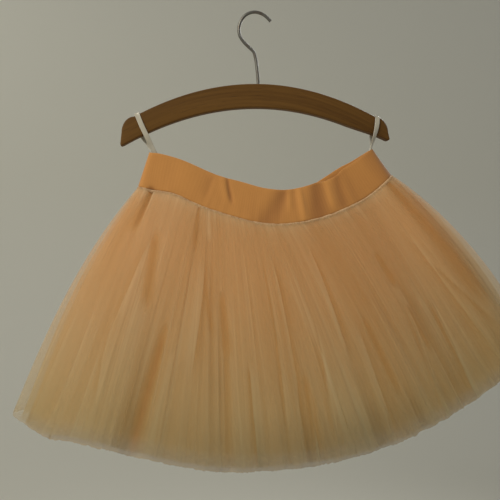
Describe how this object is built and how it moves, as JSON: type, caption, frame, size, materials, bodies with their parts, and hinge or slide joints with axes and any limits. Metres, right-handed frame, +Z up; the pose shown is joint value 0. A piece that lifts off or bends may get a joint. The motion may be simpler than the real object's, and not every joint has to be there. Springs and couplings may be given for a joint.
{
  "type": "tulle skirt",
  "caption": "Short flared skirt of gathered tulle on a wide rib waistband, hung by ribbon loops from a curved wooden hanger with a wire hook.",
  "frame": {"origin": "inner top of the hanger's hook, where the nail or rail carries it", "axes": "+Z up, +X to the viewer's right along the hanger, the skirt's front faces -Y"},
  "size_m": [0.66, 0.1582, 0.5645],
  "materials": {
    "salmon_rib": "matt rib knit",
    "pale_thread": "matt overlocked edge",
    "sheer_tulle": "sheer net",
    "deep_tulle": "net",
    "satin_ribbon": "satin",
    "brown_wood": "satin varnish",
    "steel_wire": "dull"
  },
  "bodies": {
    "root": {"waistband": "salmon_rib", "waist_seam": "pale_thread", "tulle_outer_front": "sheer_tulle", "tulle_outer_back": "sheer_tulle", "tulle_inner_front": "deep_tulle", "tulle_inner_back": "deep_tulle", "loop_left": "satin_ribbon", "loop_right": "satin_ribbon", "hanger_bar": "brown_wood", "hanger_hook": "steel_wire"}
  },
  "joints": []
}
